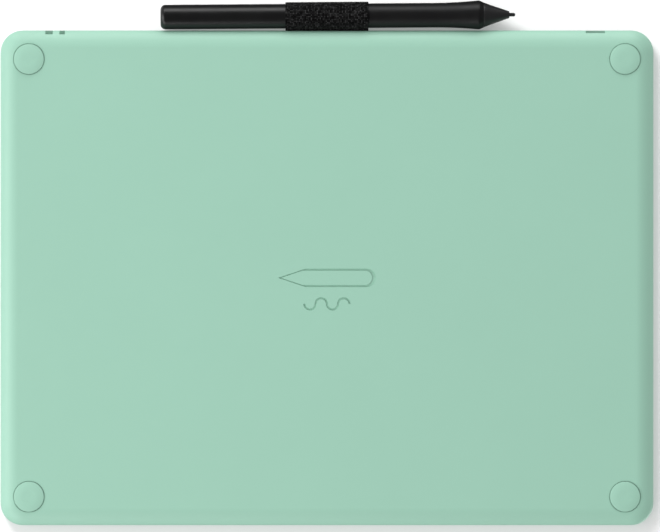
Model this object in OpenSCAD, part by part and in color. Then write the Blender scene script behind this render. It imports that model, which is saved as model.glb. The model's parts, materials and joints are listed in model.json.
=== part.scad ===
// Pen drawing tablet with its pen held in a woven loop at the rear edge.
// Millimetres, +Z up to the drawing surface, +X to the user's right, +Y to the rear.
// The origin is on the table, under the centre of the whole object's box.

/* [Tablet] */
// Width of the tablet, left to right
tablet_w = 264; // [250:1:280]
// Depth of the tablet, front to rear
tablet_d = 200; // [196:1:212]
// Height of the drawing surface above the table
tablet_h = 8.8; // [8.8:0.1:9.2]
// Corner radius of the outline
corner_r = 9; // [9:0.5:12]
// Width of the rounded lower edge
edge_w = 7; // [6:0.5:7]
// Radius of the upper part of the rounded edge
edge_side_r = 3; // [2.5:0.5:3]
// Wall thickness of the lower shell
wall_t = 1.6; // [1.4:0.1:1.8]
// Floor thickness of the lower shell
floor_t = 1.4; // [1.2:0.1:1.4]

/* [Feet] */
// Diameter of each foot
foot_d = 12.2; // [10:0.1:14]
// How far the feet stand out of the shell
foot_drop = 0.8; // [0.6:0.1:1.0]
// Distance from the foot's centre to the nearest edges
foot_inset = 11.6; // [11:0.1:13]
// Width of the groove round each foot
foot_groove = 0.25; // [0.2:0.05:0.5]

/* [Drawing surface] */
// Width of the inlaid drawing sheet
sheet_w = 240; // [220:1:244]
// Depth of the inlaid drawing sheet
sheet_d = 164; // [140:1:164]
// Thickness of the drawing sheet
sheet_t = 0.3; // [0.2:0.1:0.4]

/* [Keys] */
// Length of each express key
key_l = 26; // [20:1:28]
// Width of each express key
key_w = 7; // [5:0.5:8]
// How far a key goes down
key_travel = 0.4; // [0.2:0.1:0.4]
// Diameter of the power button
power_d = 6; // [4:0.5:8]
// Length of the tray that holds the keys
tray_l = 156; // [150:1:160]
// Width of the tray
tray_w = 14; // [12:1:14]
// Depth of the tray at its middle
tray_depth = 1.2; // [0.8:0.1:1.2]

/* [Pen] */
// Overall length of the pen
pen_l = 143.5; // [140:0.5:150]
// Diameter of the pen's straight barrel
barrel_d = 9.95; // [9:0.05:10]
// Largest diameter of the grip, just behind the nose cone
flare_d = 11.76; // [10.5:0.02:11.8]
// Diameter of the nib
nib_d = 1.5; // [1.2:0.1:1.6]
// Angle between the pen and the tablet's rear edge
pen_tilt = 0.4; // [0:0.1:0.5]

/* [Loop] */
// Width of the woven loop along the pen
loop_w = 33.6; // [20:0.2:36]
// Thickness of the woven band
loop_t = 0.5; // [0.4:0.1:0.6]
// Gap between the pen's barrel and the loop
loop_gap = 0.2; // [0.2:0.05:0.3]

/* [Hidden] */
$fn = 64;

// A cut reaches this far past the face it opens
over = 1;
// Gap between fixed pieces that sit against each other
seat_gap = 0.05;
half_w = tablet_w / 2;
half_d = tablet_d / 2;

// Heights of the tablet's layers above the table
shell_z = foot_drop;
floor_z = shell_z + floor_t;
rim_z = tablet_h - 0.3;
cover_z = tablet_h - 1.6;
board_t = 0.8;
board_z = floor_z + 0.5;
board_top = board_z + board_t;
sensor_z = cover_z - seat_gap - board_t;
shield_t = 0.3;
shield_z = sensor_z - seat_gap - shield_t;

// Lower edge: a large arc off the floor runs into a smaller arc up to the side
edge_turn = 45;
edge_floor_r = edge_side_r + (edge_w - edge_side_r) / sin(edge_turn);
edge_top = shell_z + edge_floor_r - (edge_floor_r - edge_side_r) * cos(edge_turn);
// The rabbet that the top cover drops into
rabbet = 0.6;
cover_inset = wall_t - rabbet + 0.1;

// Depth of the sign sunk into the floor's underside
sign_depth = 0.4;

foot_x = half_w - foot_inset;
foot_y = half_d - foot_inset;
foot_seat = 0.5;
// Each foot is a shallow dome round a small flat that touches the table
foot_flat_r = 2.5;
foot_dome = 0.4;

// Case screws go up under the feet into the cover's bosses
screw_r = 1;
screw_head_r = 1.9;
screw_head_h = 1.1;
screw_pad_r = 4.5;
screw_pad_z = floor_z + 1.4;
boss_r = 2.6;
head_z = shell_z + foot_seat + 0.1;

sheet_y = -12;
sheet_r = 3;

// Tray and keys, near the rear edge
tray_y = half_d - 17;
tray_r = (pow(tray_w / 2, 2) + pow(tray_depth, 2)) / (2 * tray_depth);
tray_pad_z = cover_z - 1;
key_gap = 0.15;
key_rise = 0.2;
key_flange = 1;
flange_t = 0.55;
flange_z = tray_pad_z - seat_gap - flange_t;
switch_h = 0.55;
stem_z = board_top + switch_h + key_travel + 0.05;
key_x = [-56, -24, 24, 56];
light_x = 7.2;
light_r = 0.6;

// Main board along the rear, under the tray
board_left = -(half_w - 16.5);
board_right = 88;
board_front = half_d - 28;
board_rear = half_d - 5;
board_posts = [[-96, 77], [8, 75], [82, 77]];
post_r = 2.2;
board_screw_r = 0.7;

// Rear openings
usb_x = -108.5;
usb_w = 7.4;
usb_h = 2.7;
usb_l = 5.6;
usb_clear = 0.35;
eyelets = [[112.3, 3], [107, 2.2]];
eyelet_z = shell_z + 1.9;
eyelet_h = 3;

battery_size = [60, 45, 2.9];
battery_at = [-40, 18];
pad_t = 0.3;

// Pen axis: it passes the rear edge's middle at pen_offset and pen_z
barrel_r = barrel_d / 2;
flare_r = flare_d / 2;
nib_r = nib_d / 2;
pen_offset = 5.9;
pen_z = 6.1;
tail_x = 67.3;
// Stations along the pen, from its tail
tail_round = 2;
joint_s = 66;
spigot_s = 58;
flare_start = 110;
flare_s = 128.7;
seam_s = pen_l - 12.9;
cone_end = pen_l - 2.4;
bore_r = barrel_r - 1.075;
switch_s = 93;
switch_l = 22;
switch_w = 4.6;
pivot_s = switch_s + switch_l / 2;
pivot_up = 2.2;
pivot_r = 0.5;
pen_board_up = 0.4;

// How far the object reaches behind the tablet, which centres the origin
rear_reach = pen_offset + (flare_s - tail_x / cos(pen_tilt)) * sin(pen_tilt)
    + flare_r * cos(pen_tilt);
centre_shift = -rear_reach / 2;

loop_in_r = barrel_r + loop_gap;
loop_out_r = loop_in_r + loop_t;
neck_z = pen_z - 0.9;
neck_t = 1.1;
neck_in = 8;
anchor_rear = half_d - 4.6;
anchor_d = 3.5;
slot_clear = 0.3;

// Colours
mint = [0.64, 0.82, 0.74];
mint_rubber = [0.62, 0.8, 0.72];
black = [0.09, 0.09, 0.1];
soft_black = [0.13, 0.13, 0.14];
pen_black = [0.12, 0.12, 0.13];
woven_black = [0.06, 0.06, 0.06];
circuit_green = [0.1, 0.35, 0.2];
circuit_black = [0.15, 0.15, 0.16];
steel = [0.72, 0.73, 0.75];
copper = [0.72, 0.42, 0.22];
silver = [0.78, 0.78, 0.8];
clear_white = [0.9, 0.92, 0.92];
ferrite_grey = [0.25, 0.25, 0.27];
foam_grey = [0.4, 0.4, 0.42];

// ---- Helpers ----

// Everything about the tablet is drawn round its own centre, then set over the origin
module on_tablet() {
    translate([0, centre_shift, 0]) children();
}

// The pen is drawn with its tail at z = 0, its nib towards +z and its switch towards +x
module on_pen() {
    on_tablet()
        translate([0, half_d + pen_offset, pen_z])
            rotate([0, 0, -pen_tilt])
                rotate([0, -90, 0])
                    translate([0, 0, -tail_x / cos(pen_tilt)])
                        children();
}

// A slice of a disc between two angles
module sector(r, from, to) {
    mid = (from + to) / 2;
    intersection() {
        circle(r);
        polygon([
            [0, 0],
            2 * r * [cos(from), sin(from)],
            2 * r * [cos(mid), sin(mid)],
            2 * r * [cos(to), sin(to)]
        ]);
    }
}

// A slab with round corners whose edge follows a 2D profile.
// The profile's x runs out from the corner's centre, and its y is the height.
module swept_slab(w, d, r, low, high) {
    translate([-(w / 2 - r), -(d / 2 - r), low])
        cube([w - 2 * r, d - 2 * r, high - low]);
    for (k = [0:3]) {
        along = (k % 2 == 0 ? w : d) / 2 - r;
        across = (k % 2 == 0 ? d : w) / 2 - r;
        rotate([0, 0, 90 * k])
            translate([along, across, 0]) {
                rotate_extrude(angle = 90) children();
                rotate([90, 0, 0]) linear_extrude(2 * across) children();
            }
    }
}

// A plain slab with round corners, from its low to its high face
module round_slab(w, d, r, low, high) {
    translate([0, 0, low])
        linear_extrude(high - low) {
            square([w - 2 * r, d], center = true);
            square([w, d - 2 * r], center = true);
            for (x = [-1, 1], y = [-1, 1])
                translate([x * (w / 2 - r), y * (d / 2 - r)]) circle(r);
        }
}

// A flat shape with half-round ends
module pill(l, w) {
    square([l - w, w], center = true);
    for (x = [-1, 1])
        translate([x * (l - w) / 2, 0]) circle(w / 2);
}

module at_feet() {
    for (x = [-1, 1], y = [-1, 1])
        translate([x * foot_x, y * foot_y, 0]) children();
}

module block(from, to) {
    translate(from) cube(to - from);
}

module tube(r_out, r_in, from, to) {
    translate([0, 0, from])
        difference() {
            cylinder(r = r_out, h = to - from);
            translate([0, 0, -over]) cylinder(r = r_in, h = to - from + 2 * over);
        }
}

module rod(r, from, to) {
    translate([0, 0, from]) cylinder(r = r, h = to - from);
}

// ---- Tablet ----

// Outer edge of the lower shell, up to its rim
module shell_edge() {
    floor_centre = [corner_r - edge_w, shell_z + edge_floor_r];
    side_centre = [corner_r - edge_side_r, edge_top];
    intersection() {
        translate([0, shell_z]) square([corner_r, rim_z - shell_z]);
        union() {
            translate([0, shell_z]) square([corner_r - edge_w, rim_z - shell_z]);
            translate(floor_centre) sector(edge_floor_r, -90, -90 + edge_turn);
            translate(side_centre) sector(edge_side_r, -90 + edge_turn, 0);
            polygon([
                side_centre,
                [corner_r, edge_top],
                [corner_r, rim_z],
                [corner_r - edge_w, rim_z],
                [corner_r - edge_w, edge_top + edge_w - edge_side_r]
            ]);
        }
    }
}

// Hollow of the lower shell, with a rabbet for the cover at its top
module shell_hollow() {
    inner = corner_r - wall_t;
    polygon([
        [0, floor_z],
        [corner_r - 5.5, floor_z],
        [inner, edge_top],
        [inner, cover_z],
        [inner + rabbet, cover_z],
        [inner + rabbet, rim_z + over],
        [0, rim_z + over]
    ]);
}

// Outline of a pen, one stroke wide, lying along x
module pen_sign(l, h, stroke) {
    difference() {
        pen_sign_shape(l, h);
        translate([stroke * 0.2, 0]) pen_sign_shape(l - 3.2 * stroke, h - 2 * stroke);
    }
}

module pen_sign_shape(l, h) {
    translate([-l / 2 + h / 2, 0]) circle(h / 2);
    translate([-l / 2 + h / 2, -h / 2]) square([l - 2 * h, h]);
    polygon([[l / 2 - h * 1.5, -h / 2], [l / 2, 0], [l / 2 - h * 1.5, h / 2]]);
}

// A wavy line of half rings
module wave_sign(l, stroke, turns) {
    mid_r = (l - stroke) / turns / 2;
    for (i = [0:turns - 1])
        translate([-l / 2 + stroke / 2 + mid_r * (2 * i + 1), 0])
            rotate([0, 0, 180 * (i % 2)])
                intersection() {
                    difference() {
                        circle(mid_r + stroke / 2);
                        circle(mid_r - stroke / 2);
                    }
                    translate([-l, 0]) square([2 * l, l]);
                }
}

module sunk_sign() {
    translate([0, -3.9, shell_z - over])
        linear_extrude(over + sign_depth) {
            translate([0, 3.9]) pen_sign(39.4, 7.4, 0.8);
            translate([0, -6.6]) wave_sign(19, 0.8, 4);
        }
}

module bottom_shell() {
    color(mint) on_tablet() difference() {
        union() {
            difference() {
                swept_slab(tablet_w, tablet_d, corner_r, shell_z, rim_z) shell_edge();
                swept_slab(tablet_w, tablet_d, corner_r, floor_z, rim_z + over)
                    shell_hollow();
            }
            at_feet() rod(screw_pad_r, floor_z - 0.2, screw_pad_z);
            for (p = board_posts)
                translate(p) rod(post_r, floor_z - 0.2, board_z - seat_gap / 2);
        }
        at_feet() {
            rod(foot_d / 2 + foot_groove, shell_z - over, shell_z + foot_seat);
            rod(screw_head_r + 0.3, shell_z, head_z + screw_head_h);
            rod(screw_r + 0.15, shell_z, screw_pad_z + over);
        }
        for (p = board_posts)
            translate(p) rod(board_screw_r + 0.02, floor_z - 0.3, board_z + over);
        block(
            [usb_x - usb_w / 2 - usb_clear / 2, half_d - 9, board_top - usb_clear],
            [usb_x + usb_w / 2 + usb_clear / 2, half_d + over, board_top + usb_h + usb_clear]
        );
        for (e = eyelets)
            block(
                [e[0] - e[1] / 2, half_d - 4, eyelet_z],
                [e[0] + e[1] / 2, half_d + over, eyelet_z + eyelet_h]
            );
        block(
            [-loop_w / 2 - slot_clear, half_d - 3, neck_z - neck_t / 2 - slot_clear],
            [loop_w / 2 + slot_clear, half_d + over, neck_z + neck_t / 2 + slot_clear]
        );
        sunk_sign();
    }
}

module cover_edge() {
    r = corner_r - cover_inset;
    round_r = 0.6;
    translate([0, cover_z + seat_gap]) square([r, tablet_h - round_r - cover_z - seat_gap]);
    translate([0, tablet_h - round_r]) square([r - round_r, round_r]);
    translate([r - round_r, tablet_h - round_r]) sector(round_r, 0, 90);
}

module tray_valley(rise) {
    translate([-half_w, tray_y, tablet_h - tray_depth + tray_r + rise])
        rotate([0, 90, 0])
            cylinder(r = tray_r, h = tablet_w);
}

module top_cover() {
    color(black) on_tablet() difference() {
        union() {
            swept_slab(
                tablet_w - 2 * cover_inset, tablet_d - 2 * cover_inset,
                corner_r - cover_inset, cover_z + seat_gap, tablet_h
            ) cover_edge();
            translate([0, tray_y, 0])
                round_slab(tray_l + 8, tray_w + 3, 3, tray_pad_z, cover_z + 0.3);
            at_feet() rod(boss_r, screw_pad_z + seat_gap, cover_z + 0.3);
        }
        translate([0, sheet_y, 0])
            round_slab(sheet_w, sheet_d, sheet_r, tablet_h - sheet_t, tablet_h + over);
        intersection() {
            tray_valley(0);
            translate([0, tray_y, cover_z - over]) linear_extrude(4) pill(tray_l, tray_w);
        }
        for (x = key_x)
            translate([x, tray_y, tray_pad_z - over])
                linear_extrude(5) pill(key_l + 2 * key_gap, key_w + 2 * key_gap);
        translate([0, tray_y, 0]) rod(power_d / 2 + key_gap, tray_pad_z - over, tablet_h);
        translate([light_x, tray_y, 0]) rod(light_r + 0.05, tray_pad_z - over, tablet_h);
        at_feet() rod(screw_r + 0.02, screw_pad_z - over, cover_z - 0.3);
    }
}

module drawing_sheet() {
    color(soft_black) on_tablet() translate([0, sheet_y, 0])
        round_slab(
            sheet_w - 0.2, sheet_d - 0.2, sheet_r - 0.1,
            tablet_h - sheet_t + 0.02, tablet_h
        );
}

module sensor_board() {
    color(circuit_green) on_tablet() translate([0, sheet_y, 0])
        round_slab(sheet_w - 14, sheet_d - 8, 2, sensor_z, sensor_z + board_t);
}

module shield_plate() {
    color(steel) on_tablet() translate([0, sheet_y, 0])
        round_slab(sheet_w - 18, sheet_d - 12, 2, shield_z, shield_z + shield_t);
}

module main_board() {
    color(circuit_green) on_tablet() difference() {
        block([board_left, board_front, board_z], [board_right, board_rear, board_top]);
        for (p = board_posts)
            translate(p) rod(board_screw_r + 0.3, board_z - over, board_top + over);
    }
}

// Controller, charger, memory, flash connector and cable connectors on the main board
module board_chips() {
    chips = [
        [-88, 84, 9, 9, 1.1],
        [-74, 78, 5, 5, 0.9],
        [-40, 92, 6, 4, 0.9],
        [12, 88, 5, 3, 0.8],
        [40, 74.5, 22, 3.6, 1.2],
        [-40, 75, 7, 4, 1.6],
        [30, 92, 7, 4, 0.8]
    ];
    color(circuit_black) on_tablet() for (c = chips)
        translate([c[0] - c[2] / 2, c[1] - c[3] / 2, board_top]) cube([c[2], c[3], c[4]]);
}

// One tactile switch under each key and one under the power button
module key_switches() {
    color(steel) on_tablet() for (x = concat(key_x, [0]))
        translate([x, tray_y, board_top]) {
            translate([-2.2, -2.2, 0]) cube([4.4, 4.4, switch_h - 0.15]);
            rod(1.1, 0.1, switch_h);
        }
}

module radio_module() {
    color(silver) on_tablet()
        block([72, half_d - 16, board_top], [84, half_d - 6, board_top + 1.5]);
}

module battery() {
    size = battery_size;
    color(silver) on_tablet() translate([battery_at[0], battery_at[1], 0])
        round_slab(size[0], size[1], 1.5, floor_z + pad_t, floor_z + pad_t + size[2]);
}

module battery_pad() {
    size = battery_size;
    color(foam_grey) on_tablet() translate([battery_at[0], battery_at[1], 0])
        round_slab(size[0] - 10, size[1] - 8, 1, floor_z, floor_z + pad_t);
}

// The flat lead runs back over the board to its connector
module battery_lead() {
    from_y = battery_at[1] + battery_size[1] / 2;
    to_y = 73;
    lead_z = board_top + 0.4;
    color(black) on_tablet()
        block([battery_at[0] - 2, from_y, lead_z], [battery_at[0] + 2, to_y, lead_z + 0.9]);
}

// Flat flex from the sensor board's rear edge down to the main board's connector
module sensor_flex() {
    high = shield_z - 0.1;
    low = board_top + 0.3;
    from_y = sheet_y + sheet_d / 2 - 14;
    to_y = half_d - 27.3;
    t = 0.2;
    color(copper) on_tablet() translate([30, 0, 0])
        rotate([90, 0, 90])
            linear_extrude(20)
                polygon([
                    [from_y, high], [from_y + 8, high], [to_y - 4, low], [to_y, low],
                    [to_y, low - t], [to_y - 4.1, low - t], [from_y + 7.9, high - t],
                    [from_y, high - t]
                ]);
}

module usb_socket() {
    skin = 0.3;
    mouth = half_d - 1.8;
    color(steel) on_tablet() {
        difference() {
            block(
                [usb_x - usb_w / 2, mouth - usb_l, board_top],
                [usb_x + usb_w / 2, mouth, board_top + usb_h]
            );
            block(
                [usb_x - usb_w / 2 + skin, mouth - usb_l + skin, board_top + skin],
                [usb_x + usb_w / 2 - skin, mouth + over, board_top + usb_h - skin]
            );
        }
        block(
            [usb_x - 1.9, mouth - usb_l + skin / 2, board_top + 1.1],
            [usb_x + 1.9, mouth - 1, board_top + 1.6]
        );
    }
}

module light_pipe() {
    color(clear_white) on_tablet() translate([light_x, tray_y, 0])
        rod(light_r, board_top + 0.6, tablet_h - tray_depth + 0.05);
}

module rubber_feet() {
    r = foot_d / 2;
    top = shell_z + foot_seat - 0.02;
    edge = 0.15;
    steps = 6;
    color(mint_rubber) on_tablet() at_feet() rotate_extrude()
        polygon(concat(
            [[0, top], [0, 0]],
            [for (i = [0:steps])
                let (out = i / steps)
                [foot_flat_r + (r - edge - foot_flat_r) * out, foot_dome * out * out]],
            [[r, foot_dome + edge], [r, top]]
        ));
}

module case_screws() {
    color(steel) on_tablet() at_feet() {
        difference() {
            rod(screw_head_r, head_z, head_z + screw_head_h);
            translate([0, 0, head_z - over]) cylinder(r = 0.9, h = over + 0.6, $fn = 6);
        }
        rod(screw_r, head_z + screw_head_h - 0.1, cover_z - 0.5);
    }
}

module board_screws() {
    color(steel) on_tablet() for (p = board_posts)
        translate(p) {
            rod(1.4, board_top + 0.01, board_top + 0.8);
            rod(board_screw_r, floor_z - 0.2, board_top + 0.1);
        }
}

// A woven band: a ring round the pen and a flat neck into the rear slot
module pen_loop() {
    axis_y = half_d + pen_offset;
    color(woven_black) on_tablet() difference() {
        union() {
            translate([-loop_w / 2, axis_y, pen_z])
                rotate([0, 90, 0])
                    cylinder(r = loop_out_r, h = loop_w);
            block(
                [-loop_w / 2, half_d - neck_in, neck_z - neck_t / 2],
                [loop_w / 2, axis_y, neck_z + neck_t / 2]
            );
        }
        translate([0, axis_y, pen_z])
            rotate([0, 90, -pen_tilt])
                cylinder(r = loop_in_r, h = loop_w + 2 * over, center = true);
    }
}

// A slotted bar on the main board that clamps the loop's ends
module loop_anchor() {
    half = loop_w / 2;
    color(black) on_tablet() difference() {
        block(
            [-half - 2.5, anchor_rear - anchor_d, board_top],
            [half + 2.5, anchor_rear, neck_z + neck_t / 2 + 0.8]
        );
        block(
            [-half - seat_gap, anchor_rear - anchor_d - over, neck_z - neck_t / 2 - seat_gap],
            [half + seat_gap, anchor_rear + over, neck_z + neck_t / 2 + seat_gap]
        );
    }
}

// A key that follows the tray's hollow, with a flange under the cover
module express_key(x) {
    color(black) on_tablet() {
        difference() {
            translate([x, tray_y, flange_z]) linear_extrude(4) pill(key_l, key_w);
            tray_valley(key_rise);
        }
        translate([x, tray_y, flange_z])
            linear_extrude(flange_t) pill(key_l + 2 * key_flange, key_w + 2 * key_flange);
        translate([x, tray_y, 0]) rod(1.5, stem_z, flange_z + 0.1);
    }
}

module power_button() {
    color(soft_black) on_tablet() {
        difference() {
            translate([0, tray_y, 0]) rod(power_d / 2, flange_z, tablet_h);
            tray_valley(key_rise);
        }
        translate([0, tray_y, 0]) {
            rod(power_d / 2 + key_flange, flange_z, flange_z + flange_t);
            rod(1.2, stem_z, flange_z + 0.1);
        }
    }
}

// ---- Pen ----

// Radius of the grip where it swells from the barrel to the flare
function swell(s) = barrel_r
    + (flare_r - barrel_r) * pow((s - flare_start) / (flare_s - flare_start), 2);

module grip_outline() {
    lip_r = 1.1;
    swell_steps = 10;
    lip_steps = 6;
    polygon(concat(
        [[0, spigot_s + 8], [barrel_r, spigot_s + 8]],
        [for (i = [0:swell_steps])
            let (s = flare_start + (flare_s - flare_start) * i / swell_steps)
            [swell(s), s]],
        [for (i = [1:lip_steps])
            let (turn = 90 * i / lip_steps)
            [flare_r - lip_r * (1 - cos(turn)) * 0.7, flare_s + (seam_s - flare_s) * sin(turn)]],
        [[0, seam_s]]
    ));
}

module pen_front_barrel() {
    color(pen_black) on_pen() difference() {
        union() {
            rotate_extrude() grip_outline();
            rod(bore_r - 0.1, spigot_s, joint_s + 0.5);
        }
        rod(bore_r - 0.9, spigot_s - over, joint_s + 3);
        rod(bore_r, joint_s + 2, seam_s + over);
        block(
            [0, -switch_w / 2 - 0.2, switch_s - 0.3],
            [flare_d, switch_w / 2 + 0.2, switch_s + switch_l + 0.3]
        );
    }
}

module pen_nose_cone() {
    base = seam_s + seat_gap;
    bend = seam_s + 4.3;
    color(pen_black) on_pen() difference() {
        union() {
            translate([0, 0, base])
                cylinder(r1 = flare_r - 0.83, r2 = 3.43, h = bend - base);
            translate([0, 0, bend]) cylinder(r1 = 3.43, r2 = 1.4, h = cone_end - bend);
            rod(bore_r - 0.05, seam_s - 3, base + 0.1);
        }
        rod(2.75, seam_s - 3 - over, bend - 0.6);
        rod(nib_r + 0.06, seam_s, pen_l);
    }
}

// Half-round cradle inside the barrel, with two ears for the side switch's pivot
module pen_frame() {
    color(soft_black) on_pen() difference() {
        union() {
            intersection() {
                rod(bore_r - 0.05, joint_s + 4, 119);
                block([-5, -5, joint_s], [pen_board_up, 5, 125]);
            }
            for (side = [-1, 1])
                block(
                    [0, side * 2.1 - 0.4, pivot_s - 1.2],
                    [2.9, side * 2.1 + 0.4, pivot_s + 1.2]
                );
        }
        block([-2.2, -5, 109], [5, 5, 125]);
        translate([pivot_up, 0, pivot_s])
            rotate([90, 0, 0])
                cylinder(r = pivot_r + 0.05, h = 8, center = true);
    }
}

module pen_board() {
    low = pen_board_up + 0.02;
    color(circuit_green) on_pen() {
        difference() {
            block([low, -2.9, 74], [low + 0.8, 2.9, 108.5]);
            for (side = [-1, 1])
                block(
                    [0, side * 2.4 - 0.8, pivot_s - 1.3],
                    [2, side * 2.4 + 0.8, pivot_s + 1.3]
                );
        }
        for (s = [-7, 3.2])
            block(
                [low + 0.7, -1.5, pivot_s + s - 1.4],
                [low + 1.2, 1.5, pivot_s + s + 1.2]
            );
    }
}

module pen_force_sensor() {
    color(steel) on_pen() {
        tube(2.1, nib_r + 0.1, 111, 119);
        rod(2.1, 110, 111.2);
    }
}

module pen_ferrite() {
    color(ferrite_grey) on_pen() tube(1.6, nib_r + 0.1, 121, 133);
}

module pen_coil() {
    color(copper) on_pen() tube(2.5, 1.62, 122, 132);
}

module pen_nib() {
    color(soft_black) on_pen() {
        rod(nib_r, 119.5, pen_l - nib_r);
        translate([0, 0, pen_l - nib_r]) sphere(nib_r);
    }
}

// Rocker with a press at each end, turning on a pin between the frame's ears
module pen_side_switch() {
    rise = barrel_r + 0.35;
    color(black) on_pen() difference() {
        union() {
            intersection() {
                block(
                    [3.35, -switch_w / 2, switch_s],
                    [flare_d, switch_w / 2, switch_s + switch_l]
                );
                rod(rise, switch_s - over, switch_s + switch_l + over);
            }
            block([pivot_up - 0.7, -1.5, pivot_s - 0.9], [3.4, 1.5, pivot_s + 0.9]);
            translate([pivot_up, 0, pivot_s])
                rotate([90, 0, 0])
                    cylinder(r = pivot_r, h = 4.8, center = true);
        }
        translate([rise + 5.7, 0, pivot_s])
            rotate([90, 0, 0])
                cylinder(r = 6, h = 8, center = true);
    }
}

module pen_rear_barrel() {
    color(pen_black) on_pen() difference() {
        union() {
            rod(barrel_r, tail_round, joint_s - seat_gap);
            rod(barrel_r - tail_round, 0, tail_round);
            rotate_extrude()
                translate([barrel_r - tail_round, tail_round]) sector(tail_round, -90, 0);
        }
        rod(bore_r, 2.5, joint_s);
    }
}

module at_spare_nibs() {
    for (k = [0:2])
        rotate([0, 0, 120 * k]) translate([1.9, 0, 0]) children();
}

module nib_rack() {
    color(foam_grey) on_pen() difference() {
        rod(bore_r - 0.02, 30, 46);
        at_spare_nibs() rod(nib_r + 0.02, 32, 50);
    }
}

module spare_nibs() {
    color(soft_black) on_pen() at_spare_nibs() {
        rod(nib_r, 32.1, 55 - nib_r);
        translate([0, 0, 55 - nib_r]) sphere(nib_r);
    }
}

bottom_shell();
top_cover();
drawing_sheet();
sensor_board();
shield_plate();
main_board();
board_chips();
key_switches();
radio_module();
battery();
battery_pad();
battery_lead();
sensor_flex();
usb_socket();
light_pipe();
rubber_feet();
case_screws();
board_screws();
pen_loop();
loop_anchor();
express_key(key_x[0]);  // key_outer_left
express_key(key_x[1]);  // key_inner_left
express_key(key_x[2]);  // key_inner_right
express_key(key_x[3]);  // key_outer_right
power_button();
pen_front_barrel();
pen_nose_cone();
pen_frame();
pen_board();
pen_ferrite();
pen_coil();
pen_force_sensor();
pen_nib();
pen_side_switch();
pen_rear_barrel();
nib_rack();
spare_nibs();
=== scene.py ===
"""Looks of the pen drawing tablet, seen from below as it lies face down on a white surface."""
import json
import math

import bmesh
import bpy
import numpy as np
from mathutils import Matrix, Vector


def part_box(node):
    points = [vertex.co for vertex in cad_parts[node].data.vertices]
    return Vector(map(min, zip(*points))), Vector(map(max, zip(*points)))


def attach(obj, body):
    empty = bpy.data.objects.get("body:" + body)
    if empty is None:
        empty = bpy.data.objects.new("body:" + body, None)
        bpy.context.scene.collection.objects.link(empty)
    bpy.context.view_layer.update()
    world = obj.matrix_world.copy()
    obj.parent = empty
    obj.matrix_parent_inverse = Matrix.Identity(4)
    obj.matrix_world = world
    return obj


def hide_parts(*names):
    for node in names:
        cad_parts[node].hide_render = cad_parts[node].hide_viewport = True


MM = 0.001

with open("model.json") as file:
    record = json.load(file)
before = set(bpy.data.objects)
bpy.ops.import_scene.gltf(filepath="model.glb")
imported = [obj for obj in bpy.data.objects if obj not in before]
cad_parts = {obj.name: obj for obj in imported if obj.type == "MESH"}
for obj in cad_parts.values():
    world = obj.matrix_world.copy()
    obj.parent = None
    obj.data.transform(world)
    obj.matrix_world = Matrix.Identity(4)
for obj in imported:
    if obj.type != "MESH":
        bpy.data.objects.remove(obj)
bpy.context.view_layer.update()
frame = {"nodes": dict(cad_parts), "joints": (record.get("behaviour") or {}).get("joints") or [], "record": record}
nodes = frame["nodes"]
joints = {j["name"]: j for j in frame["joints"]}

# ---- Places taken from the frame ----

shell_low, shell_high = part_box("bottom_shell")
tablet_mid_y = (shell_low.y + shell_high.y) / 2
rear_y = shell_high.y
cover_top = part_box("top_cover")[1].z
sheet_low, sheet_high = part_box("drawing_sheet")
object_top = max(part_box(n)[1].z for n in nodes)

pen_dir = Vector(joints["pen_slide"]["axis"]).normalized()
tail_low, tail_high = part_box("pen_rear_barrel")


def radius_of(node):
    """Half the height of a node's box."""
    low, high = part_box(node)
    return (high.z - low.z) / 2


barrel_r = radius_of("pen_rear_barrel")
flare_r = radius_of("pen_front_barrel")
nib_r = radius_of("pen_nib")
pen_side = pen_dir.cross(Vector((0, 0, 1))).normalized()
pen_up = pen_side.cross(pen_dir).normalized()
tail_len = (tail_high.x - tail_low.x - 2 * barrel_r * abs(pen_dir.y)) / abs(pen_dir.x)
tail_point = (tail_low + tail_high) / 2 - pen_dir * tail_len / 2
pen_place = Matrix((
    (pen_up.x, pen_side.x, pen_dir.x, tail_point.x),
    (pen_up.y, pen_side.y, pen_dir.y, tail_point.y),
    (pen_up.z, pen_side.z, pen_dir.z, tail_point.z),
    (0, 0, 0, 1),
))


def span(node):
    """Stations of a pen node's two ends, measured along the pen from its tail."""
    low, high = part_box(node)
    return tuple((tail_point.x - x) / abs(pen_dir.x) for x in (high.x, low.x))


# ---- Mesh helpers ----


def new_object(name, verts, faces, smooth=True):
    mesh = bpy.data.meshes.new(name)
    mesh.from_pydata([tuple(v) for v in verts], [], faces)
    mesh.validate()
    mesh.update()
    mesh.polygons.foreach_set("use_smooth", [smooth] * len(mesh.polygons))
    obj = bpy.data.objects.new(name, mesh)
    bpy.context.scene.collection.objects.link(obj)
    return obj


def face_outwards(obj):
    """Joins doubled points and turns all faces outwards."""
    bm = bmesh.new()
    bm.from_mesh(obj.data)
    bmesh.ops.remove_doubles(bm, verts=bm.verts, dist=1e-8)
    bmesh.ops.recalc_face_normals(bm, faces=bm.faces)
    bm.to_mesh(obj.data)
    bm.free()
    obj.data.update()


def even_normals(obj):
    mod = obj.modifiers.new("even_normals", "WEIGHTED_NORMAL")
    mod.keep_sharp = True
    mod.weight = 60


def arc(cx, cy, r, start, end, steps):
    """Points on an arc, as (x, y), with the angles in degrees."""
    for i in range(steps + 1):
        turn = math.radians(start + (end - start) * i / steps)
        yield cx + r * math.cos(turn), cy + r * math.sin(turn)


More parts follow.
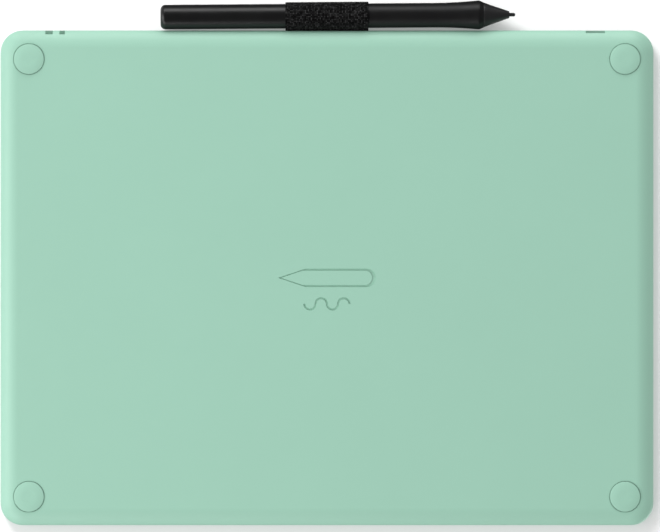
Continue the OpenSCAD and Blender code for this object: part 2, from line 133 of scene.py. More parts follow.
def lathe(name, profile, place, segments=128):
    """Turns (station, radius) points round the z axis of a frame."""
    verts, faces, rings = [], [], []
    for s, r in profile:
        if r < 1e-7:
            rings.append([len(verts)])
            verts.append(place @ Vector((0, 0, s)))
            continue
        rings.append(list(range(len(verts), len(verts) + segments)))
        for k in range(segments):
            turn = 2 * math.pi * k / segments
            verts.append(place @ Vector((r * math.cos(turn), r * math.sin(turn), s)))
    for a, b in zip(rings, rings[1:]):
        for k in range(segments):
            n = (k + 1) % segments
            if len(a) == 1:
                faces.append((a[0], b[n], b[k]))
            elif len(b) == 1:
                faces.append((a[k], a[n], b[0]))
            else:
                faces.append((a[k], a[n], b[n], b[k]))
    return new_object(name, verts, faces)


# ---- Material helpers ----


class Shader:
    """A material's node tree, with short calls for the nodes it uses."""

    def __init__(self, name):
        self.mat = bpy.data.materials.new(name)
        self.mat.use_nodes = True
        self.tree = self.mat.node_tree
        self.bsdf = self.tree.nodes["Principled BSDF"]
        self.out = self.tree.nodes["Material Output"]
        self.place = self.add("ShaderNodeTexCoord").outputs["Object"]

    def add(self, kind, **settings):
        node = self.tree.nodes.new(kind)
        for key, value in settings.items():
            setattr(node, key, value)
        return node

    def link(self, a, b):
        self.tree.links.new(a, b)

    def math(self, operation, a, b=None, clamp=False):
        node = self.add("ShaderNodeMath", operation=operation, use_clamp=clamp)
        for socket, value in zip(node.inputs, (a, b)):
            if value is None:
                continue
            if isinstance(value, (int, float)):
                socket.default_value = value
            else:
                self.link(value, socket)
        return node.outputs[0]

    def noise(self, scale, detail=2.0, roughness=0.5, place=None):
        node = self.add("ShaderNodeTexNoise")
        node.inputs["Scale"].default_value = scale
        node.inputs["Detail"].default_value = detail
        node.inputs["Roughness"].default_value = roughness
        self.link(place or self.place, node.inputs["Vector"])
        return node.outputs["Fac"]

    def ramp(self, value, low, high, start=0.0, end=1.0):
        """Maps a value onto a range of numbers or colours."""
        if isinstance(low, (int, float)):
            node = self.add("ShaderNodeMapRange")
            node.inputs["From Min"].default_value = start
            node.inputs["From Max"].default_value = end
            node.inputs["To Min"].default_value = low
            node.inputs["To Max"].default_value = high
            self.link(value, node.inputs["Value"])
            return node.outputs["Result"]
        node = self.add("ShaderNodeValToRGB")
        node.color_ramp.elements[0].position = start
        node.color_ramp.elements[1].position = end
        node.color_ramp.elements[0].color = (*low, 1)
        node.color_ramp.elements[1].color = (*high, 1)
        self.link(value, node.inputs["Fac"])
        return node.outputs["Color"]

    def mix(self, amount, a, b):
        node = self.add("ShaderNodeMix", data_type="RGBA")
        if isinstance(amount, (int, float)):
            node.inputs["Factor"].default_value = amount
        else:
            self.link(amount, node.inputs["Factor"])
        for socket, value in ((node.inputs[6], a), (node.inputs[7], b)):
            if isinstance(value, tuple):
                socket.default_value = (*value, 1)
            else:
                self.link(value, socket)
        return node.outputs[2]

    def bump(self, height, strength, distance, before=None):
        node = self.add("ShaderNodeBump")
        node.inputs["Strength"].default_value = strength
        node.inputs["Distance"].default_value = distance
        self.link(height, node.inputs["Height"])
        if before is not None:
            self.link(before, node.inputs["Normal"])
        return node.outputs["Normal"]

    def finish(self, color=None, roughness=None, normal=None, **fixed):
        for name, value in (("Base Color", color), ("Roughness", roughness), ("Normal", normal)):
            if value is None:
                continue
            if isinstance(value, tuple):
                self.bsdf.inputs[name].default_value = (*value, 1)
            elif isinstance(value, (int, float)):
                self.bsdf.inputs[name].default_value = value
            else:
                self.link(value, self.bsdf.inputs[name])
        for name, value in fixed.items():
            self.bsdf.inputs[name.replace("_", " ")].default_value = value
        return self.mat


def shade(tint, change):
    return tuple(max(0.0, c * change) for c in tint)


def moulded(name, tint, rough, grain=0.16, depth=0.012, vary=0.02, level=0.5):
    """Moulded plastic: a fine spark-eroded grain, and slow drifts in colour and gloss.
    grain is the size of its pits and depth their height, in millimetres."""
    s = Shader(name)
    slow = s.noise(22, 3)
    color = s.ramp(slow, shade(tint, 1 - vary), shade(tint, 1 + vary), 0.3, 0.7)
    pits = s.noise(1 / (grain * MM), 2, 0.55)
    speck = s.ramp(pits, shade(tint, 1 - vary), shade(tint, 1 + vary), 0.35, 0.65)
    color = s.mix(0.5, color, speck)
    gloss = s.ramp(s.noise(160, 4), rough - 0.04, rough + 0.04, 0.3, 0.7)
    normal = s.bump(pits, 1.0, depth * MM)
    return s.finish(color, gloss, normal, Specular_IOR_Level=level)


def brushed(name, tint, rough):
    s = Shader(name)
    stretch = s.add("ShaderNodeMapping")
    stretch.inputs["Scale"].default_value = (1, 18, 18)
    s.link(s.place, stretch.inputs["Vector"])
    lines = s.noise(400, 3, 0.6, stretch.outputs["Vector"])
    color = s.ramp(lines, shade(tint, 0.9), shade(tint, 1.08), 0.3, 0.7)
    gloss = s.ramp(lines, rough - 0.06, rough + 0.08, 0.3, 0.7)
    return s.finish(color, gloss, s.bump(lines, 0.5, 0.004 * MM), Metallic=1.0)


def circuit(name, tint):
    """Solder mask over faint copper tracks."""
    s = Shader(name)
    brick = s.add("ShaderNodeTexBrick", offset=0.35)
    brick.inputs["Scale"].default_value = 60
    brick.inputs["Mortar Size"].default_value = 0.03
    brick.inputs["Color1"].default_value = (0, 0, 0, 1)
    brick.inputs["Color2"].default_value = (0, 0, 0, 1)
    brick.inputs["Mortar"].default_value = (1, 1, 1, 1)
    s.link(s.place, brick.inputs["Vector"])
    tracks = brick.outputs["Fac"]
    color = s.mix(s.math("MULTIPLY", tracks, 0.5), tint, shade(tint, 2.2))
    gloss = s.ramp(s.noise(300, 3), 0.22, 0.34, 0.3, 0.7)
    return s.finish(color, gloss, s.bump(tracks, 0.6, 0.02 * MM))


# ---- Materials ----

for node in nodes.values():
    node.data.materials.clear()
for mat in list(bpy.data.materials):
    bpy.data.materials.remove(mat)

MINT = (0.32, 0.567, 0.445)

mint_shell = moulded("mint_shell", MINT, 0.46, grain=0.18, depth=0.006, vary=0.012)
mint_rubber = moulded("mint_rubber", MINT, 0.5, grain=0.12, depth=0.004, vary=0.01)
black_cover = moulded("black_cover", (0.016, 0.016, 0.017), 0.52, grain=0.2, depth=0.01, vary=0.15)
key_black = moulded("key_black", (0.008, 0.008, 0.0085), 0.3, grain=0.12, depth=0.004, vary=0.1)
pen_black = moulded("pen_black", (0.0045, 0.0045, 0.0048), 0.35, grain=0.1, depth=0.002, vary=0.1)
pen_grip = moulded(
    "pen_grip", (0.005, 0.005, 0.0053), 0.44, grain=0.1, depth=0.003, vary=0.1, level=0.36
)
pen_nose = moulded("pen_nose", (0.012, 0.012, 0.0125), 0.5, grain=0.14, depth=0.004, vary=0.2)
switch_black = moulded("switch_black", (0.006, 0.006, 0.0065), 0.26, grain=0.1, depth=0.002, vary=0.1)
nib_black = moulded("nib_black", (0.008, 0.008, 0.0085), 0.42, grain=0.08, depth=0.002, vary=0.1)
chip_black = moulded("chip_black", (0.02, 0.02, 0.02), 0.5, grain=0.1, depth=0.004, vary=0.1)
inner_plastic = moulded("inner_plastic", (0.05, 0.05, 0.055), 0.5, grain=0.2, depth=0.01, vary=0.1)
foam = moulded("foam", (0.12, 0.12, 0.13), 0.8, grain=0.4, depth=0.05, vary=0.15)
cable_black = moulded("cable_black", (0.015, 0.015, 0.015), 0.55, grain=0.2, depth=0.01, vary=0.1)
clear_plastic = moulded("clear_plastic", (0.8, 0.84, 0.84), 0.3, grain=0.1, depth=0.002, vary=0.02)
ferrite = moulded("ferrite", (0.06, 0.06, 0.065), 0.45, grain=0.15, depth=0.01, vary=0.2)
steel = brushed("steel", (0.6, 0.61, 0.63), 0.28)
pouch_foil = brushed("pouch_foil", (0.62, 0.62, 0.64), 0.42)
flex_copper = brushed("flex_copper", (0.55, 0.27, 0.12), 0.3)
circuit_board = circuit("circuit_board", (0.02, 0.12, 0.05))

by_slot = {
    m.name: m for m in (
        mint_shell, mint_rubber, black_cover, key_black, pen_black, switch_black, nib_black,
        chip_black, inner_plastic, foam, cable_black, clear_plastic, ferrite, steel,
        pouch_foil, flex_copper, circuit_board,
    )
}


def drawing_surface():
    """Paper-like film with a fine tooth, and light corner marks round the active area."""
    s = Shader("black_sheet")
    tint, mark_tint = (0.017, 0.017, 0.018), (0.45, 0.46, 0.46)
    half_x, half_y = 108 * MM, 67.5 * MM
    leg, line = 4 * MM, 0.5 * MM
    tooth_size, tooth_depth = 0.14 * MM, 0.014 * MM
    middle = (sheet_low + sheet_high) / 2
    split = s.add("ShaderNodeSeparateXYZ")
    s.link(s.place, split.inputs["Vector"])
    from_x = s.math("ABSOLUTE", s.math("SUBTRACT", split.outputs["X"], middle.x))
    from_y = s.math("ABSOLUTE", s.math("SUBTRACT", split.outputs["Y"], middle.y))

    def band(value, low, high):
        over = s.math("GREATER_THAN", value, low)
        return s.math("MULTIPLY", over, s.math("LESS_THAN", value, high))

    flat_leg = s.math(
        "MULTIPLY", band(from_y, half_y - line, half_y), band(from_x, half_x - leg, half_x)
    )
    tall_leg = s.math(
        "MULTIPLY", band(from_x, half_x - line, half_x), band(from_y, half_y - leg, half_y)
    )
    marks = s.math("MAXIMUM", flat_leg, tall_leg)
    tooth = s.noise(1 / tooth_size, 3, 0.6)
    color = s.ramp(tooth, shade(tint, 0.8), shade(tint, 1.25), 0.3, 0.7)
    color = s.mix(marks, color, mark_tint)
    gloss = s.ramp(s.noise(90, 4), 0.57, 0.61, 0.3, 0.7)
    return s.finish(color, gloss, s.bump(tooth, 1.0, tooth_depth), Specular_IOR_Level=0.45)


by_slot["black_sheet"] = drawing_surface()


def woven_cloth():
    """Tight black elastic: yarns with a painted highlight on their crests and painted shade at their crossings,
    and loose fibre.
    """
    s = Shader("woven_black")
    # The darkest colour is painted shade for the weave's hollows, the lightest a painted highlight on its crests.
    crossing_shade, crest_highlight, loose = (0.0004, 0.0004, 0.0004), (0.062, 0.062, 0.063), (0.003, 0.003, 0.0032)
    fibre_size, fibre_depth = 0.09 * MM, 0.03 * MM
    crest_shade_and_tone = s.add("ShaderNodeAttribute", attribute_name="crest_shade_and_tone").outputs["Fac"]
    fibre = s.noise(1 / fibre_size, 3, 0.7)
    # Painted shade and highlight: the weave's height, kept on the mesh together with a random tone per yarn cell,
    # picks between the two colours.
    yarn = s.ramp(crest_shade_and_tone, crossing_shade, crest_highlight, 0.5, 1.0)
    color = s.mix(s.ramp(fibre, 0.0, 0.6, 0.35, 0.7), yarn, loose)
    gloss = s.ramp(fibre, 0.62, 0.85, 0.3, 0.7)
    return s.finish(
        color, gloss, s.bump(fibre, 0.8, fibre_depth),
        Sheen_Weight=0.01, Sheen_Roughness=0.5, Specular_IOR_Level=0.07,
    )


by_slot["woven_black"] = woven_cloth()

for entry in frame["record"]["subparts"]:
    nodes[entry["node"]].data.materials.append(by_slot[entry["material_slot"]])

# ---- Pen, turned smooth ----


def place_piece(obj, slot_name, body, *replaced):
    obj.data.materials.clear()
    obj.data.materials.append(by_slot[slot_name])
    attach(obj, body)
    if replaced:
        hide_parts(*replaced)
    return obj


def eased(points, radius, steps=3):
    """Rounds each corner of an outline with a small arc-like blend."""
    out = [points[0]]
    for a, b, c in zip(points, points[1:], points[2:]):
        a, b, c = Vector(a), Vector(b), Vector(c)
        reach = min(radius, (b - a).length / 2.1, (c - b).length / 2.1)
        start = b + (a - b).normalized() * reach
        end = b + (c - b).normalized() * reach
        for i in range(steps + 1):
            t = i / steps
            p = start * (1 - t) ** 2 + b * 2 * t * (1 - t) + end * t * t
            out.append((p.x, p.y))
    out.append(points[-1])
    return out


spigot_s, seam_s = span("pen_front_barrel")
joint_s = span("pen_rear_barrel")[1]
switch_from, switch_to = span("pen_side_switch")
nose_s, cone_end = span("pen_nose_cone")
nib_s, nib_end = span("pen_nib")
wall = 1.075 * MM
bore_r = barrel_r - wall

# Tail half: a cap with a rounded end, hollow for the spare nibs
round_r, cap, edge_r = 2 * MM, 2.5 * MM, 0.12 * MM
rear_profile = [(cap, 0), (cap, bore_r), (joint_s, bore_r), (joint_s, barrel_r)]
rear_profile = eased(rear_profile, edge_r)
rear_profile += list(arc(round_r, barrel_r - round_r, round_r, 90, 180, 14))
rear_profile += [(0, (barrel_r - round_r) * k) for k in (0.66, 0.33, 0)]
rear = lathe("pen_rear_barrel_turned", rear_profile[::-1], pen_place)
place_piece(rear, "pen_black", "rear_barrel", "pen_rear_barrel")

# Front half: a spigot, the straight barrel, a swell to the flare and a slot for the switch
lip_len, swell_len = 1.9 * MM, 18.7 * MM
flare_s = seam_s - lip_len
swell_s = flare_s - swell_len
slot_half, slot_gap = 2.5 * MM, 0.3 * MM
slot_from, slot_to = switch_from - slot_gap, switch_to + slot_gap
spigot_len, spigot_wall = 2.05 * MM, 0.9 * MM
slot_rows = list(np.linspace(slot_from, slot_to, 30))


def grip_r(s):
    if s <= swell_s:
        return barrel_r
    return barrel_r + (flare_r - barrel_r) * ((s - swell_s) / (flare_s - swell_s)) ** 2


outer = [(joint_s + 0.05 * MM, barrel_r - 0.12 * MM), (joint_s + 0.17 * MM, barrel_r)]
outer += [(s, barrel_r) for s in np.linspace(joint_s + 0.3 * MM, slot_from, 14)[:-1]]
outer += [(s, grip_r(s)) for s in slot_rows]
outer += [(s, grip_r(s)) for s in np.linspace(slot_to, flare_s - 0.5 * MM, 16)[1:]]
lip = (seam_s, flare_r - 0.77 * MM)
outer += [
    (
        (1 - t) ** 2 * (flare_s - 0.5 * MM) + 2 * t * (1 - t) * (flare_s + 0.15 * MM)
        + t * t * (flare_s + 0.55 * MM),
        (1 - t) ** 2 * grip_r(flare_s - 0.5 * MM) + 2 * t * (1 - t) * (flare_r + 0.02 * MM)
        + t * t * (flare_r - 0.16 * MM),
    )
    for t in np.linspace(0, 1, 9)[1:]
]
outer += [(seam_s - 0.5 * MM, lip[1] + 0.21 * MM), (seam_s - 0.06 * MM, lip[1] + 0.025 * MM)]
outer += [(seam_s, lip[1] - 0.05 * MM)]
outer += [(seam_s, bore_r + 0.1 * MM)]
inner = [(seam_s - 0.1 * MM, bore_r)]
inner += [(s, bore_r) for s in reversed(slot_rows)]
inner += [(joint_s + spigot_len, bore_r), (joint_s + spigot_len, bore_r - spigot_wall)]
inner += [(spigot_s, bore_r - spigot_wall), (spigot_s, bore_r - 0.2 * MM)]
inner += [(spigot_s + 0.1 * MM, bore_r - 0.1 * MM), (joint_s + 0.05 * MM, bore_r - 0.1 * MM)]


def slotted_lathe(name, profile, place):
    """A turned shell with a straight slot on its upper side."""
    slot_cols, rest_cols = 24, 104
    cols = slot_cols + rest_cols
    verts, faces = [], []
    for s, r in profile:
        half = math.asin(min(0.95, slot_half / r))
        turns = [half * (2 * k / slot_cols - 1) for k in range(slot_cols)]
        turns += [half + (2 * math.pi - 2 * half) * k / rest_cols for k in range(rest_cols)]
        verts += [place @ Vector((r * math.cos(t), r * math.sin(t), s)) for t in turns]
    in_slot = [slot_from - 1e-7 <= s <= slot_to + 1e-7 for s, r in profile]
    rows = len(profile)
    for i in range(rows):
        j = (i + 1) % rows
        for k in range(cols):
            n = (k + 1) % cols
            if k < slot_cols and in_slot[i] and in_slot[j]:
                continue
            faces.append((i * cols + k, j * cols + k, j * cols + n, i * cols + n))
    low = [i for i in range(rows) if in_slot[i]]
    front, back = low[: len(low) // 2], low[len(low) // 2:][::-1]
    for a, b, c, d in zip(front, front[1:], back, back[1:]):
        faces.append((a * cols, c * cols, d * cols, b * cols))
        k = slot_cols
        faces.append((a * cols + k, b * cols + k, d * cols + k, c * cols + k))
    for a, c, flip in ((front[0], back[0], False), (front[-1], back[-1], True)):
        for k in range(slot_cols):
            quad = (a * cols + k, a * cols + k + 1, c * cols + k + 1, c * cols + k)
            faces.append(quad[::-1] if flip else quad)
    return new_object(name, verts, faces)


front = slotted_lathe("pen_front_barrel_turned", outer + inner, pen_place)
place_piece(front, "pen_black", "pen", "pen_front_barrel")
front.data.materials[0] = pen_grip

# Nose cone: a wide cone that runs into a longer, slimmer one, hollow for the nib
bend_s = seam_s + 4.3 * MM
base_s = seam_s + 0.05 * MM
nose_r, bend_r, tip_r = flare_r - 0.83 * MM, 3.43 * MM, 1.4 * MM
collar_r = 2.75 * MM
hole_r = nib_r + 0.06 * MM
cone = [(nose_s, collar_r), (nose_s, bore_r - 0.05 * MM), (base_s, bore_r - 0.05 * MM)]
cone += [(base_s, nose_r - 0.06 * MM), (base_s + 0.06 * MM, nose_r - 0.01 * MM)]
slim = [
    (
        (1 - t) ** 2 * (base_s + 0.8 * MM) + 2 * t * (1 - t) * bend_s + t * t * (bend_s + 3.4 * MM),
        (1 - t) ** 2 * (nose_r - 0.3 * MM) + 2 * t * (1 - t) * (bend_r + 0.04 * MM)
        + t * t * (bend_r - 1.1 * MM),
    )
    for t in np.linspace(0, 1, 17)
]
cone += slim
cone += list(arc(cone_end - 0.3 * MM, tip_r - 0.28 * MM, 0.3 * MM, 70, 0, 6))
cone += [(cone_end, hole_r + 0.05 * MM), (cone_end - 0.06 * MM, hole_r)]
cone += [(bend_s - 0.6 * MM, hole_r), (bend_s - 0.6 * MM, collar_r), (nose_s, collar_r)]
nose = lathe("pen_nose_cone_turned", cone, pen_place)
place_piece(nose, "pen_black", "pen", "pen_nose_cone")
nose.data.materials[0] = pen_nose

ball = list(arc(nib_end - nib_r, 0, nib_r, 0, 90, 14))
rod = [(nib_end - nib_r, nib_r), (nib_s, nib_r), (nib_s, 0)]
nib = lathe("pen_nib_turned", (ball[:-1] + eased(rod, 0.1 * MM))[::-1], pen_place, 64)
place_piece(nib, "nib_black", "nib", "pen_nib")

for obj in (rear, front, nose, nib):
    face_outwards(obj)
    even_normals(obj)

# ---- Feet, each a shallow dome ----

foot_low, foot_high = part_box("rubber_feet")
screw_low, screw_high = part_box("case_screws")
screw_head_r = 1.9 * MM
foot_r = foot_high.x - screw_high.x + screw_head_r
flat_r, dome, foot_top = 2.5 * MM, 0.4 * MM, foot_high.z
foot_profile = [(0, 0), (0, flat_r * 0.5), (0, flat_r)]
for t in np.linspace(0, 1, 20)[1:]:
    foot_profile.append((dome * t * t, flat_r + (foot_r - 0.14 * MM - flat_r) * t))
foot_profile += [
    (dome + 0.02 * MM, foot_r - 0.06 * MM), (dome + 0.07 * MM, foot_r - 0.015 * MM),
    (dome + 0.14 * MM, foot_r), (foot_top, foot_r), (foot_top, 0),
]
foot_objects = []
for x in (foot_low.x + foot_r, foot_high.x - foot_r):
    for y in (foot_low.y + foot_r, foot_high.y - foot_r):
        foot_objects.append(lathe("foot", foot_profile, Matrix.Translation((x, y, 0)), 96))


def joined(name, objects):
    """One object from several."""
    verts, faces = [], []
    for obj in objects:
        start = len(verts)
        verts += [v.co.copy() for v in obj.data.vertices]
        faces += [[start + i for i in p.vertices] for p in obj.data.polygons]
        mesh = obj.data
        bpy.data.objects.remove(obj)
        bpy.data.meshes.remove(mesh)
    return new_object(name, verts, faces)


feet = joined("rubber_feet_domed", foot_objects)
face_outwards(feet)
even_normals(feet)
place_piece(feet, "mint_rubber", "tablet", "rubber_feet")

# ---- Woven loop ----

loop_low, loop_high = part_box("pen_loop")
loop_mid_x = (loop_low.x + loop_high.x) / 2
loop_w = loop_high.x - loop_low.x
band_t = 0.5 * MM
cloth_half = 0.205 * MM
pen_mid = tail_point + pen_dir * ((tail_point.x - loop_mid_x) / abs(pen_dir.x))
neck_z = pen_mid.z - 0.9 * MM
ring_r = (loop_high.z - loop_low.z) / 2 - band_t / 2 - 0.02 * MM
neck_in_y = loop_low.y
neck_out_y = rear_y - 0.35 * MM
layer = 0.275 * MM
pitch = 0.6 * MM
relief = 0.085 * MM
side_margin = 0.03 * MM
lead, neck_reach = 0.9 * MM, 0.75 * MM


def bezier(a, b, c, d, steps):
    for i in range(steps + 1):
        t = i / steps
        yield tuple(
            (1 - t) ** 3 * p + 3 * t * (1 - t) ** 2 * q + 3 * t * t * (1 - t) * r + t ** 3 * s
            for p, q, r, s in zip(a, b, c, d)
        )


def strip_line(mid_y):
    """The strip's path in Y and Z: in over the slot, round the pen, and back under itself."""
    def ring(turn):
        t = math.radians(turn)
        return mid_y + ring_r * math.cos(t), pen_mid.z + ring_r * math.sin(t)

    def heading(turn, reach):
        t = math.radians(turn)
        return -math.sin(t) * reach, math.cos(t) * reach

    start, stop = 164, -156
    top, low = ring(start), ring(stop)
    away, back = heading(start, lead), heading(stop, lead)
    upper, lower = neck_z + layer, neck_z - layer
    line = [(neck_in_y + (neck_out_y - neck_in_y) * i / 20, upper) for i in range(20)]
    line += list(bezier(
        (neck_out_y, upper), (neck_out_y + neck_reach, upper),
        (top[0] + away[0], top[1] + away[1]), top, 16,
    ))
    line += [ring(start + (stop - start) * i / 220) for i in range(1, 220)]
    line += list(bezier(
        low, (low[0] - back[0], low[1] - back[1]),
        (neck_out_y + neck_reach, lower), (neck_out_y, lower), 16,
    ))
    line += [(neck_out_y + (neck_in_y - neck_out_y) * i / 20, lower) for i in range(1, 21)]
    return np.array(line)


def even_line(line, count):
    step = np.linalg.norm(np.diff(line, axis=0), axis=1)
    along = np.concatenate([[0], np.cumsum(step)])
    at = np.linspace(0, along[-1], count)
    return np.stack([np.interp(at, along, line[:, k]) for k in (0, 1)], axis=1), along[-1]


strip_len = even_line(strip_line(pen_mid.y), 10)[1]
per_yarn = 5
warps = round(loop_w / pitch)
wefts = round(strip_len / pitch)
cols, rows = warps * per_yarn + 1, wefts * per_yarn + 1


def weave(u, v):
    """Height of a plain weave's face above its middle, from -1 to 1, in yarn counts."""
    across, along = u - np.floor(u) - 0.5, v - np.floor(v) - 0.5
    swing = math.pi
    warp = np.sin(swing * v + swing * np.floor(u)) - 2.6 * across ** 2
    weft = -np.sin(swing * u + swing * np.floor(v)) - 2.6 * along ** 2
    return np.clip(np.maximum(warp, weft), -0.9, 1)


def band_mesh():
    """The strip's two faces and its edges, with a tone for each point: painted shade and highlight from the
    weave's height, and a random tone per yarn cell.
    """
    u = np.linspace(0, warps, cols)
    v = np.linspace(0, wefts, rows)
    grid_u, grid_v = np.meshgrid(u, v)
    outer_face, inner_face = [], []
    rng = np.random.default_rng(7)
    drift = 1 + 0.06 * rng.standard_normal((wefts + 1, warps + 1))
    uneven = drift[
        np.minimum(np.floor(grid_v).astype(int), wefts),
        np.minimum(np.floor(grid_u).astype(int), warps),
    ]
    height = weave(grid_u, grid_v) * uneven
    back_height = weave(grid_u + 1, grid_v) * uneven
    for i in range(cols):
        x = loop_low.x + (loop_w - 2 * side_margin) * i / (cols - 1) + side_margin
        mid_y = pen_mid.y + (x - pen_mid.x) * pen_dir.y / pen_dir.x
        line, _ = even_line(strip_line(mid_y), rows)
        run = np.gradient(line, axis=0)
        run /= np.linalg.norm(run, axis=1)[:, None]
        out = np.stack([-run[:, 1], run[:, 0]], axis=1)
        edge = min(i, cols - 1 - i) / per_yarn
        fade = min(1.0, edge / 1.2)
        half = cloth_half * (0.55 + 0.45 * math.sqrt(1 - (1 - fade) ** 2))
        outside = line + out * (half + relief * height[:, i])[:, None]
        inside = line - out * (half + 0.3 * relief * back_height[:, i])[:, None]
        outer_face.append([(x, y, z) for y, z in outside])
        inner_face.append([(x, y, z) for y, z in inside])
    verts = [p for column in outer_face for p in column]
    verts += [p for column in inner_face for p in column]
    base = cols * rows
    # Each point's tone: a painted highlight where the weave stands high and painted shade where it sinks, times a
    # random tone for each yarn cell.
    weave_shade_and_tone = np.clip(0.5 + 0.5 * height, 0, 1) * np.clip(0.75 + 2.5 * (uneven - 1), 0.2, 1.2)
    faces = []
    for i in range(cols - 1):
        for j in range(rows - 1):
            a, b = i * rows + j, (i + 1) * rows + j
            faces.append((a, b, b + 1, a + 1))
            faces.append((base + a, base + a + 1, base + b + 1, base + b))
    for j in range(rows - 1):
        faces.append((j, j + 1, base + j + 1, base + j))
        a = (cols - 1) * rows + j
        faces.append((a, base + a, base + a + 1, a + 1))
    for i in range(cols - 1):
        a, b = i * rows, (i + 1) * rows
        faces.append((a, base + a, base + b, b))
        a, b = a + rows - 1, b + rows - 1
        faces.append((a, b, base + b, base + a))
    return verts, faces, np.concatenate([weave_shade_and_tone.T.ravel()] * 2)


loop_verts, loop_faces, loop_shade_and_tone = band_mesh()
loop = new_object("pen_loop_woven", loop_verts, loop_faces)
# The cloth gets each point's tone as an attribute: painted shade and highlight from the weave's height, with a
# random tone per cell.
crest_shade_and_tone = loop.data.attributes.new("crest_shade_and_tone", "FLOAT", "POINT")
crest_shade_and_tone.data.foreach_set("value", loop_shade_and_tone.astype(np.float32))
place_piece(loop, "woven_black", "tablet", "pen_loop")

# ---- Stage ----


def one_sided(name, tint, rough, glow=0.0):
    """A pale sheet that shows from one side only, and may glow like a light table."""
    mat = bpy.data.materials.new(name)
    mat.use_nodes = True
    tree = mat.node_tree
    bsdf = tree.nodes["Principled BSDF"]
    grain = tree.nodes.new("ShaderNodeTexNoise")
    grain.inputs["Scale"].default_value = 30
    ramp = tree.nodes.new("ShaderNodeValToRGB")
    ramp.color_ramp.elements[0].color = (*shade(tint, 0.995), 1)
    ramp.color_ramp.elements[1].color = (*tint, 1)
    place = tree.nodes.new("ShaderNodeTexCoord")
    tree.links.new(place.outputs["Object"], grain.inputs["Vector"])
    tree.links.new(grain.outputs["Fac"], ramp.inputs["Fac"])
    tree.links.new(ramp.outputs["Color"], bsdf.inputs["Base Color"])
    bsdf.inputs["Roughness"].default_value = rough
    bsdf.inputs["Specular IOR Level"].default_value = 0.0
    bsdf.inputs["Emission Color"].default_value = (1, 1, 1, 1)
    bsdf.inputs["Emission Strength"].default_value = glow
    side = tree.nodes.new("ShaderNodeNewGeometry")
    clear = tree.nodes.new("ShaderNodeBsdfTransparent")
    blend = tree.nodes.new("ShaderNodeMixShader")
    tree.links.new(side.outputs["Backfacing"], blend.inputs["Fac"])
    tree.links.new(bsdf.outputs["BSDF"], blend.inputs[1])
    tree.links.new(clear.outputs["BSDF"], blend.inputs[2])
    tree.links.new(blend.outputs["Shader"], tree.nodes["Material Output"].inputs["Surface"])
    return mat


def staged(obj, mat):
    obj.data.materials.append(mat)
    obj.visible_shadow = False
    obj.visible_diffuse = False
    obj.visible_glossy = False
    return obj


FAR = 8.0
FLOOR_TONE, BACKDROP_TONE, BACKDROP_GLOW = 0.62, 0.56, 0.22
floor = new_object(
    "floor", [(-FAR, -FAR, 0), (FAR, -FAR, 0), (FAR, FAR, 0), (-FAR, FAR, 0)], [(0, 1, 2, 3)]
)
staged(floor, one_sided("floor_paper", (FLOOR_TONE,) * 3, 0.9))

# A sheet that the tablet lies face down on when it's seen from below. Behind the rear edge
# it is lower, to clear the pen.
face_z, behind_z = cover_top + 0.05 * MM, object_top + 0.3 * MM
split_y = rear_y + 0.05 * MM
tuck = 3 * MM
inner_x, inner_y = shell_high.x - tuck, shell_low.y + tuck
back_y = rear_y - tuck
strips = [
    (-FAR, -FAR, FAR, inner_y, face_z),
    (-FAR, inner_y, -inner_x, back_y, face_z),
    (inner_x, inner_y, FAR, back_y, face_z),
    (-FAR, back_y, FAR, split_y, face_z),
    (-FAR, rear_y - 0.4 * MM, FAR, FAR, behind_z),
]
sheet_verts, sheet_faces = [], []
for x0, y0, x1, y1, z in strips:
    n = len(sheet_verts)
    sheet_verts += [(x0, y0, z), (x0, y1, z), (x1, y1, z), (x1, y0, z)]
    sheet_faces.append((n, n + 1, n + 2, n + 3))
backdrop = new_object("backdrop", sheet_verts, sheet_faces)
staged(backdrop, one_sided("backdrop_paper", (BACKDROP_TONE,) * 3, 0.9, glow=BACKDROP_GLOW))

# ---- Lights ----


def lamp(name, place, size, watts, glossy=True, aim=(0, 0, 0.005)):
    data = bpy.data.lights.new(name, "AREA")
    data.shape = "RECTANGLE"
    data.size, data.size_y = size
    data.energy = watts
    obj = bpy.data.objects.new(name, data)
    bpy.context.scene.collection.objects.link(obj)
    obj.location = place
    obj.rotation_mode = "QUATERNION"
    obj.rotation_quaternion = (Vector(aim) - Vector(place)).to_track_quat("-Z", "Y")
    obj.visible_camera = False
    obj.visible_glossy = glossy
    return obj


lamp("low_left", (1.25, -0.05, -0.7), (0.8, 0.8), 7.6)
lamp("low_rear", (0.1, 1.2, -0.42), (1.3, 0.6), 7.9)
lamp("low_rim", (0.1, 1.3, -0.2), (1.2, 0.2), 3.6, glossy=False)
lamp("low_front", (0.62, -0.95, -0.62), (1.1, 0.32), 5.5)
paper_key = lamp("paper_key", (0.66, 1.3, -0.95), (0.8, 0.8), 40.0, glossy=False)
paper = bpy.data.collections.new("paper")
paper.objects.link(backdrop)
paper_key.light_linking.receiver_collection = paper
lamp("high_key", (-0.9, -0.7, 1.1), (0.8, 0.8), 6)
lamp("high_fill", (0.9, 0.5, 1.2), (1.4, 1.4), 3)

# A pale room: bright to matt surfaces, and to glossy ones only from its two sides
ROOM_BELOW, ROOM_ABOVE = 0.645, 0.95
GLOSS_DARK, GLOSS_SIDES = 0.05, 0.6
LEFT_SHARE = -0.7
SEEN_TONE = 0.9

world = bpy.data.worlds.new("pale_room")
world.use_nodes = True
bpy.context.scene.world = world
room_tree = world.node_tree


def room_node(kind, **settings):
    node = room_tree.nodes.new(kind)
    for key, value in settings.items():
        setattr(node, key, value)
    return node


def room_range(value, start, end, low, high, **settings):
    node = room_node("ShaderNodeMapRange", **settings)
    for key, number in (("From Min", start), ("From Max", end), ("To Min", low), ("To Max", high)):
        node.inputs[key].default_value = number
    room_tree.links.new(value, node.inputs["Value"])
    return node.outputs["Result"]


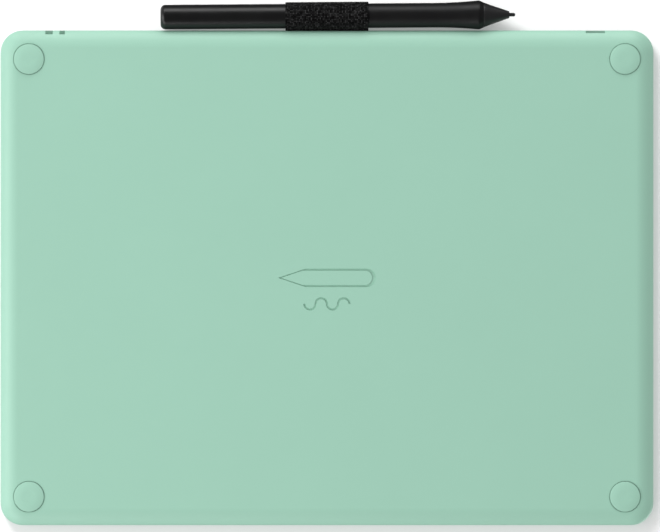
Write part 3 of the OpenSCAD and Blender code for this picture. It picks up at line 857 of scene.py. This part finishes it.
path = room_node("ShaderNodeLightPath")
toward = room_node("ShaderNodeTexCoord")
split = room_node("ShaderNodeSeparateXYZ")
room_tree.links.new(toward.outputs["Generated"], split.inputs["Vector"])
side = room_node("ShaderNodeMath", operation="MAXIMUM")
left_side = room_node("ShaderNodeMath", operation="MULTIPLY")
left_side.inputs[1].default_value = LEFT_SHARE
room_tree.links.new(split.outputs["X"], left_side.inputs[0])
room_tree.links.new(split.outputs["X"], side.inputs[0])
room_tree.links.new(left_side.outputs[0], side.inputs[1])
walls = room_range(
    side.outputs[0], 0.45, 0.8, GLOSS_DARK, GLOSS_SIDES, interpolation_type="SMOOTHSTEP"
)
height = room_range(split.outputs["Z"], -0.1, 0.1, ROOM_BELOW, ROOM_ABOVE)
strength = room_node("ShaderNodeMix")
room_tree.links.new(path.outputs["Is Glossy Ray"], strength.inputs[0])
room_tree.links.new(height, strength.inputs[2])
room_tree.links.new(walls, strength.inputs[3])
room = room_tree.nodes["Background"]
room.inputs["Color"].default_value = (1, 1, 1, 1)
room_tree.links.new(strength.outputs[0], room.inputs["Strength"])
seen = room_node("ShaderNodeBackground")
seen.inputs["Color"].default_value = (SEEN_TONE, SEEN_TONE, SEEN_TONE, 1)
pick = room_node("ShaderNodeMixShader")
room_tree.links.new(path.outputs["Is Camera Ray"], pick.inputs["Fac"])
room_tree.links.new(room.outputs["Background"], pick.inputs[1])
room_tree.links.new(seen.outputs["Background"], pick.inputs[2])
room_tree.links.new(pick.outputs["Shader"], room_tree.nodes["World Output"].inputs["Surface"])

# ---- Camera ----

# Straight below the tablet, far off, so that the view is nearly flat
CAMERA_AT = (-1.245 * MM, -1.32 * MM, -4.0)
CAMERA_LENS = 540.3

cam_data = bpy.data.cameras.new("main")
cam_data.sensor_width = 36
cam_data.lens = CAMERA_LENS
cam_data.clip_start, cam_data.clip_end = 0.05, 20
camera = bpy.data.objects.new("main", cam_data)
camera.location = CAMERA_AT
camera.rotation_euler = (0, math.pi, 0)
bpy.context.scene.collection.objects.link(camera)
bpy.context.scene.camera = camera

scene = bpy.context.scene
scene.view_settings.view_transform = "Standard"
scene.view_settings.look = "None"
